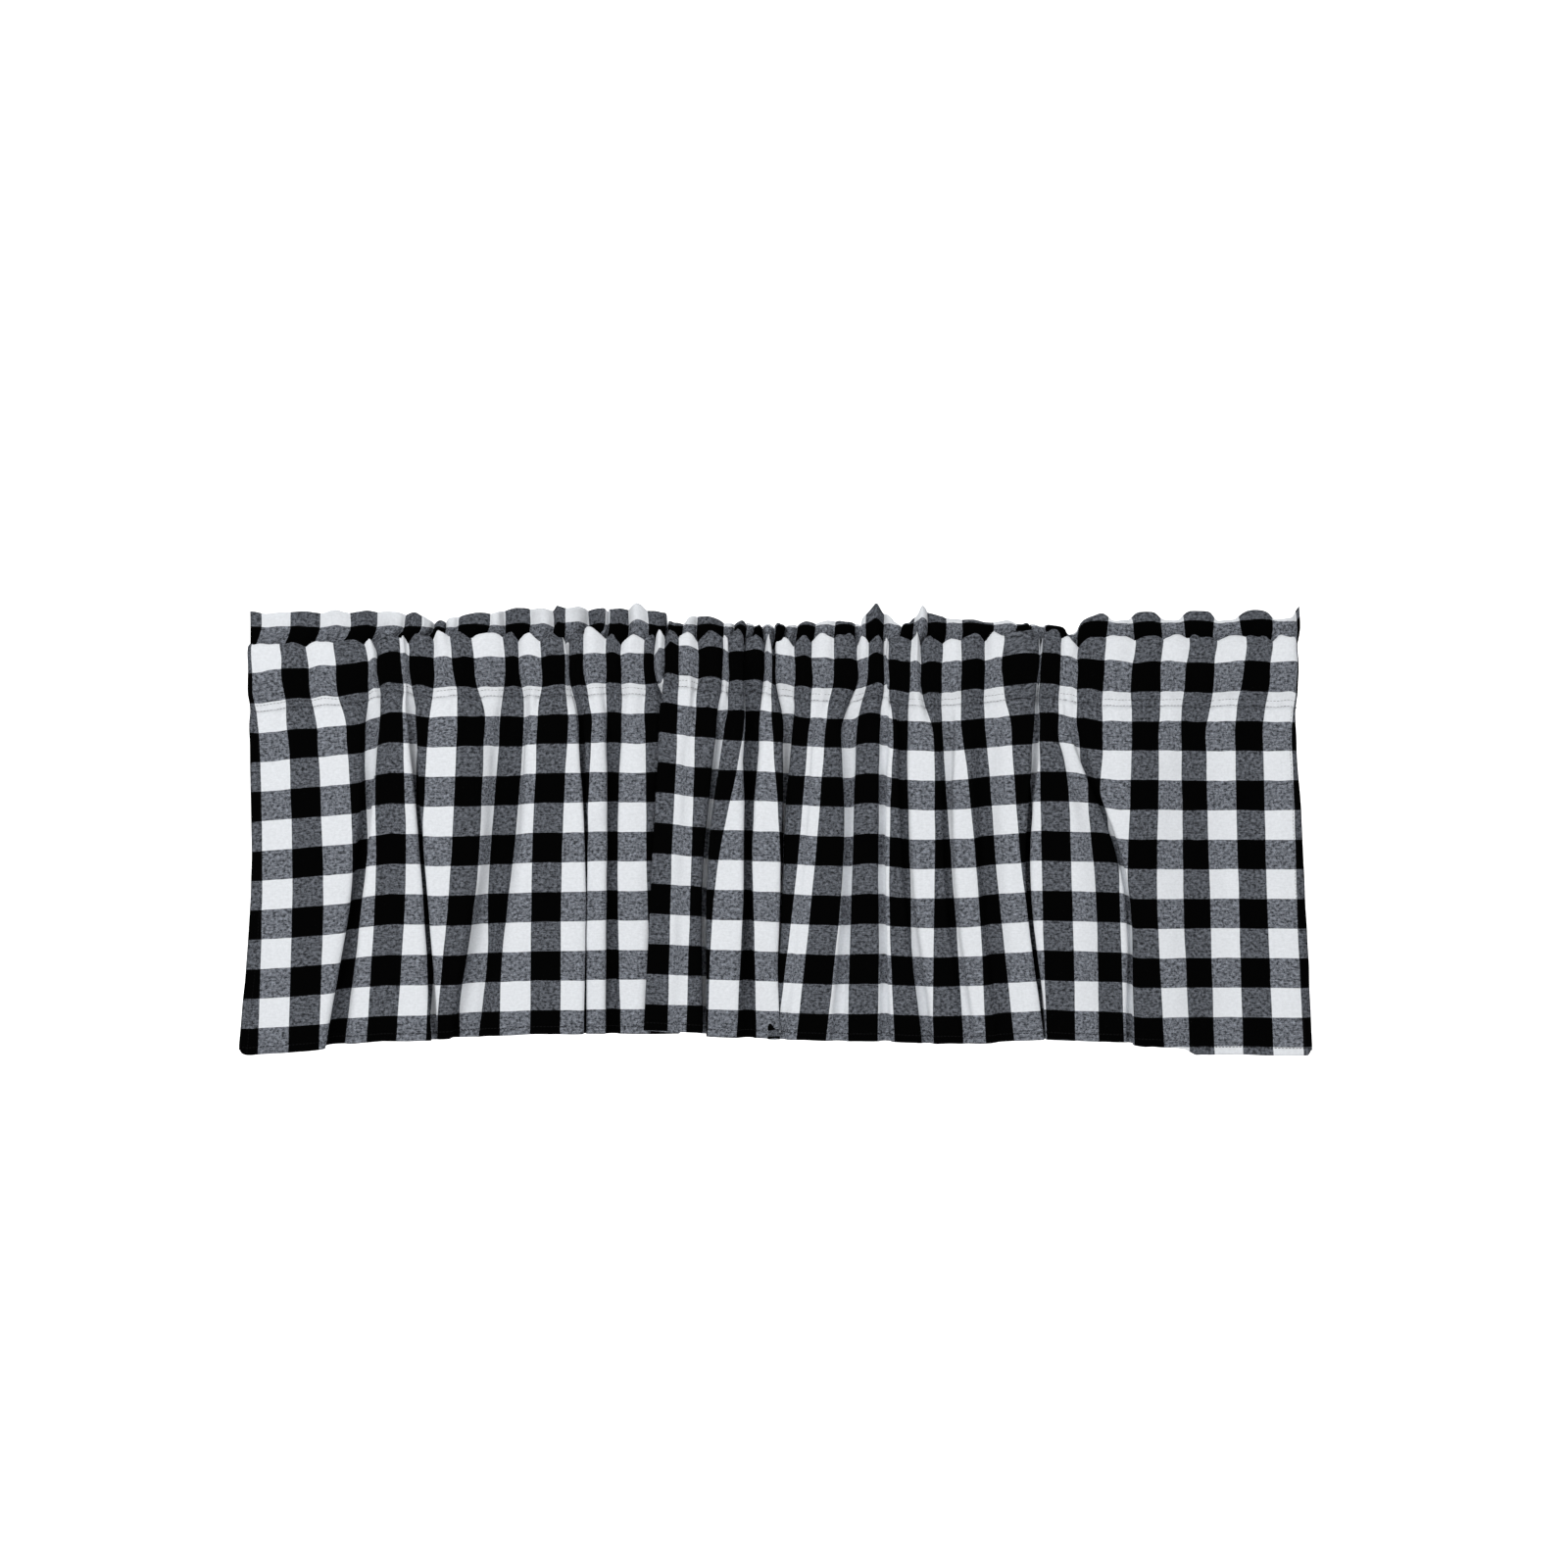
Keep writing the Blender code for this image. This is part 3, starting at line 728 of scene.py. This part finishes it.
def heading_stitches(material):
    """Both lines along the seam and the one under the ruffle, on the front and the back."""
    bm = bmesh.new()
    for ply in (1, -1):
        for length in SEAM_STITCHES:
            down = (length - HEADER_LINE) / (SEAM_LINE - HEADER_LINE)
            line = pocket_level(ply, down)[2]
            below = pocket_level(ply, down + LITTLE)[2]
            sew(bm, line, -ply * away_from_room(line, below))
        line = ruffle_level(ply, RUFFLE_STITCHES)[2]
        below = ruffle_level(ply, RUFFLE_STITCHES - 2 * LITTLE)[2]
        sew(bm, line, -ply * away_from_room(line, below))
    return as_piece("heading_stitches", bm, material)


def skirt_stitches(material):
    """The lines that hold the hems, on the front and on the back."""
    bm = bmesh.new()
    line = hem_level(HEM_STITCHES)[2]
    back = away_from_room(line, hem_level(HEM_STITCHES - LITTLE)[2])
    sew(bm, line, -back, HEM_THREAD_RADIUS)
    sew(bm, line + back * TURNED_GAP, back, HEM_THREAD_RADIUS)
    levels = [skirt_level(share) for share in np.linspace(0, 1, SKIRT_ROWS + 1)]
    back = np.array([[0, 1, 0]] * len(levels))
    for edge, inset in ((0, SIDE_STITCHES), (-1, -SIDE_STITCHES)):
        line = np.concatenate([
            points_at([cloth[edge] + inset], cloth, points) for cloth, _, points in levels
        ])
        sew(bm, line, -back)
        sew(bm, line + back * TURNED_GAP, back)
    return as_piece("skirt_stitches", bm, material)


class Nodes:
    """Short calls for building a material's nodes."""

    def __init__(self, material):
        material.use_nodes = True
        self.tree = material.node_tree
        self.shader = self.tree.nodes["Principled BSDF"]

    def put(self, kind, inputs=(), **settings):
        node = self.tree.nodes.new(kind)
        for name, value in settings.items():
            setattr(node, name, value)
        for name, value in dict(inputs).items():
            self.feed(node.inputs[name], value)
        return node

    def feed(self, socket, value):
        if isinstance(value, bpy.types.NodeSocket):
            self.tree.links.new(value, socket)
        else:
            socket.default_value = value

    def math(self, operation, *values):
        node = self.put("ShaderNodeMath", operation=operation)
        for socket, value in zip(node.inputs, values):
            self.feed(socket, value)
        return node.outputs[0]

    def mix(self, factor, low, high):
        """low where factor is 0 and high where it is 1, for plain numbers."""
        return self.math("ADD", low, self.math("MULTIPLY", factor, self.math("SUBTRACT", high, low)))


# The cotton. The warp runs down the cloth and the weft across it.
YARN = 0.46 * MM
WARP_START = 0.65  # where the pattern starts, in checks
WEFT_START = 0.4
WEFT_DROP = 0.225  # over the width of the cloth, in checks
BLACK = 0.001
WHITE = 0.76
# In a grey check the white yarns are painted darker than in a white check: partly painted shade where
# they sink between the black yarns, partly the black fibres' fuzz over them.
GREY_AND_SHADE_ON_BLACK_WARP = 0.094
GREY_AND_SHADE_ON_WHITE_WARP = 0.152
CROSSINGS = (0.55, 1.45)  # how light a black yarn and a white yarn are in a grey check
RED_TINT = (0.97, 0.93)  # in a plain check and in a grey one
BLUE_TINT = (1.04, 1.14)
FLECKS = 380.0
SLUBS = 900.0
SLUB_STRETCH = 0.2  # how much slower the slubs change across the cloth than down it
FLECK_STRENGTH = 5.0
SLUB_STRENGTH = 2.4
DARKEST_FLECK = 0.25
WHITE_UNEVEN = 0.05  # how much of the flecks' and slubs' unevenness the white checks show
CROWN_UNEVEN = 0.4  # and the heights of the yarns' crowns


def checked_cotton(name):
    """Yarn-dyed plain weave: each yarn is black or white, and a check is grey where black
    yarns cross white ones. There the white yarns are painted darker than in a white check:
    painted shade where they sink between the black yarns, and partly the black fibres' fuzz
    over them. It reads the flat cloth's own places."""
    material = bpy.data.materials.new(name)
    n = Nodes(material)
    uv = n.put("ShaderNodeUVMap", uv_map="cloth")
    axes = n.put("ShaderNodeSeparateXYZ", {"Vector": uv.outputs[0]})
    along, down = axes.outputs[0], axes.outputs[1]

    warp_yarn = n.math("FLOOR", n.math("DIVIDE", along, YARN))
    weft_yarn = n.math("FLOOR", n.math("DIVIDE", down, YARN))
    slant = n.math("MULTIPLY", along, WEFT_DROP / CLOTH_WIDTH)
    warp_at = n.math("ADD", n.math("MULTIPLY", warp_yarn, YARN / CHECK), WARP_START)
    weft_at = n.math("ADD", n.math("DIVIDE", n.math("ADD", down, slant), CHECK), WEFT_START)
    warp_white = n.math("GREATER_THAN", n.math("FLOORED_MODULO", warp_at, 2.0), 1.0)
    weft_white = n.math("LESS_THAN", n.math("FLOORED_MODULO", weft_at, 2.0), 1.0)
    over = n.math("FLOORED_MODULO", n.math("ADD", warp_yarn, weft_yarn), 2.0)

    both = n.math("MULTIPLY", warp_white, weft_white)
    either = n.math("MAXIMUM", warp_white, weft_white)
    mixed = n.math("SUBTRACT", either, both)
    shown_white = n.mix(over, weft_white, warp_white)

    yarns = n.put("ShaderNodeCombineXYZ", {"X": along, "Y": down})
    fleck = n.put("ShaderNodeTexNoise", {
        "Vector": yarns.outputs[0], "Scale": FLECKS, "Detail": 3.0, "Roughness": 0.7,
    })
    stretched = n.math("MULTIPLY", along, SLUB_STRETCH)
    slub_place = n.put("ShaderNodeCombineXYZ", {"X": stretched, "Y": down})
    slub = n.put("ShaderNodeTexNoise", {"Vector": slub_place.outputs[0], "Scale": SLUBS})
    uneven = n.math("ADD",
        n.math("MULTIPLY", n.math("SUBTRACT", fleck.outputs[0], 0.5), FLECK_STRENGTH),
        n.math("MULTIPLY", n.math("SUBTRACT", slub.outputs[0], 0.5), SLUB_STRENGTH))
    heather = n.math("MAXIMUM", n.math("ADD", uneven, 1.0), DARKEST_FLECK)
    crossing = n.mix(shown_white, *CROSSINGS)
    # A grey check's colour, with the painted shade on its white yarns.
    grey = n.math("MULTIPLY", n.mix(warp_white, GREY_AND_SHADE_ON_BLACK_WARP, GREY_AND_SHADE_ON_WHITE_WARP), heather)
    grey = n.math("MULTIPLY", grey, crossing)
    white = n.math("ADD", WHITE, n.math("MULTIPLY", uneven, WHITE_UNEVEN))
    plain = n.mix(both, BLACK, white)
    value = n.mix(mixed, plain, grey)
    tint = n.put("ShaderNodeCombineColor", {
        "Red": n.math("MULTIPLY", value, n.mix(mixed, *RED_TINT)),
        "Green": value,
        "Blue": n.math("MULTIPLY", value, n.mix(mixed, *BLUE_TINT)),
    })
    n.feed(n.shader.inputs["Base Color"], tint.outputs[0])
    n.shader.inputs["Roughness"].default_value = 0.92
    n.shader.inputs["Specular IOR Level"].default_value = 0.012

    cell_across = n.math("PINGPONG", n.math("DIVIDE", along, YARN), 0.5)
    cell_down = n.math("PINGPONG", n.math("DIVIDE", down, YARN), 0.5)
    crown = n.math("ADD", n.mix(over, cell_down, cell_across), n.math("MULTIPLY", uneven, CROWN_UNEVEN))
    bump = n.put("ShaderNodeBump", {"Height": crown, "Strength": 0.5, "Distance": 0.2 * MM})
    n.feed(n.shader.inputs["Normal"], bump.outputs[0])
    return material


def sewing_thread():
    """Near-black thread, mottled by its twist."""
    material = bpy.data.materials.new("sewing_thread")
    n = Nodes(material)
    place = n.put("ShaderNodeTexCoord")
    twist = n.put("ShaderNodeTexNoise", {"Vector": place.outputs["Object"], "Scale": 2500.0})
    shade = n.put("ShaderNodeValToRGB", {"Fac": twist.outputs[0]})
    shade.color_ramp.elements[0].color = (0.002, 0.002, 0.0022, 1)
    shade.color_ramp.elements[1].color = (0.009, 0.009, 0.01, 1)
    n.feed(n.shader.inputs["Base Color"], shade.outputs[0])
    bump = n.put("ShaderNodeBump", {"Height": twist.outputs[0], "Strength": 0.4, "Distance": 0.1 * MM})
    n.feed(n.shader.inputs["Normal"], bump.outputs[0])
    n.shader.inputs["Roughness"].default_value = 0.7
    n.shader.inputs["Specular IOR Level"].default_value = 0.1
    return material


# The backdrop, lights and camera
FLOOR_DROP = 1.2
SWEEP_START = 1.6
SWEEP_RADIUS = 1.4
FLOOR_FRONT = -3.0
FLOOR_WIDTH = 9.0
WALL_HEIGHT = 4.0
AROUND_LIGHT = 0.46
LIT_POINT = (0, 0, -0.15)
LIGHTS = (  # name, place, size in metres, watts
    ("key", (-1.3, -2.3, 1.3), (1.4, 1.4), 43.5),
    ("fill", (1.7, -2.6, 0.1), (1.6, 1.6), 17),
    ("rear", (0.6, 2.4, 1.2), (2.0, 1.4), 3),
)
CAMERA_PLACE = (0.0067, -2.2, -0.116)
CAMERA_LENS = 58.9


def pale_paper():
    """The sweep's paper. It glows more towards the back, so that the backdrop stays white."""
    material = bpy.data.materials.new("pale_paper")
    n = Nodes(material)
    n.shader.inputs["Base Color"].default_value = (0.82, 0.82, 0.82, 1)
    n.shader.inputs["Roughness"].default_value = 1.0
    n.shader.inputs["Specular IOR Level"].default_value = 0.0
    place = n.put("ShaderNodeTexCoord")
    axes = n.put("ShaderNodeSeparateXYZ", {"Vector": place.outputs["Object"]})
    back = n.put("ShaderNodeMapRange", {
        "Value": axes.outputs[1], "From Min": 0.0, "From Max": 1.4, "To Min": 0.05, "To Max": 0.85,
    })
    n.shader.inputs["Emission Color"].default_value = (1, 1, 1, 1)
    n.feed(n.shader.inputs["Emission Strength"], back.outputs[0])
    return material


def make_backdrop():
    """A pale floor that sweeps up into a wall, well clear of the valance."""
    bm = bmesh.new()
    left = -FLOOR_WIDTH / 2
    front = bm.verts.new((left, FLOOR_FRONT, -FLOOR_DROP))
    back = bm.verts.new((left, SWEEP_START, -FLOOR_DROP))
    bm.edges.new((front, back))
    bend = bmesh.ops.spin(
        bm, geom=[back], cent=(left, SWEEP_START, SWEEP_RADIUS - FLOOR_DROP), axis=(1, 0, 0),
        dvec=(0, 0, 0), angle=math.pi / 2, steps=24, use_duplicate=False,
    )
    top = [part for part in bend["geom_last"] if isinstance(part, bmesh.types.BMVert)]
    wall = bmesh.ops.extrude_vert_indiv(bm, verts=top)
    bmesh.ops.translate(bm, verts=wall["verts"], vec=(0, 0, WALL_HEIGHT))
    side = bmesh.ops.extrude_edge_only(bm, edges=bm.edges[:])
    corners = [part for part in side["geom"] if isinstance(part, bmesh.types.BMVert)]
    bmesh.ops.translate(bm, verts=corners, vec=(FLOOR_WIDTH, 0, 0))
    bmesh.ops.recalc_face_normals(bm, faces=bm.faces)
    as_piece("floor", bm, pale_paper())


def soft_light(name, place, size, watts):
    light = bpy.data.lights.new(name, "AREA")
    light.shape = "RECTANGLE"
    light.size, light.size_y = size
    light.energy = watts
    lamp = bpy.data.objects.new(name, light)
    lamp.location = place
    lamp.rotation_euler = (Vector(LIT_POINT) - Vector(place)).to_track_quat("-Z", "Y").to_euler()
    bpy.context.collection.objects.link(lamp)


def make_studio():
    world = bpy.data.worlds.new("studio")
    world.use_nodes = True
    bpy.context.scene.world = world
    background = world.node_tree.nodes["Background"]
    background.inputs[0].default_value = (1, 1, 1, 1)
    background.inputs[1].default_value = AROUND_LIGHT
    for light in LIGHTS:
        soft_light(*light)
    bpy.context.scene.view_settings.view_transform = "Standard"


def make_camera():
    lens = bpy.data.cameras.new("camera")
    lens.lens = CAMERA_LENS
    lens.sensor_width = 36
    camera = bpy.data.objects.new("camera", lens)
    camera.location = CAMERA_PLACE
    camera.rotation_euler = (math.pi / 2, 0, 0)
    bpy.context.collection.objects.link(camera)
    bpy.context.scene.camera = camera


make_backdrop()
make_studio()
make_camera()

thread = sewing_thread()

heading = sheet_through("heading_cloth", heading_levels(), checked_cotton("checked_cotton_heading"))
heading_thread = heading_stitches(thread)
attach(heading, "root")
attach(heading_thread, "root")
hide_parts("heading")

skirt = sheet_through("skirt_cloth", skirt_levels(), checked_cotton("checked_cotton_skirt"))
skirt_thread = skirt_stitches(thread)
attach(skirt, "root")
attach(skirt_thread, "root")
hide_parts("skirt")
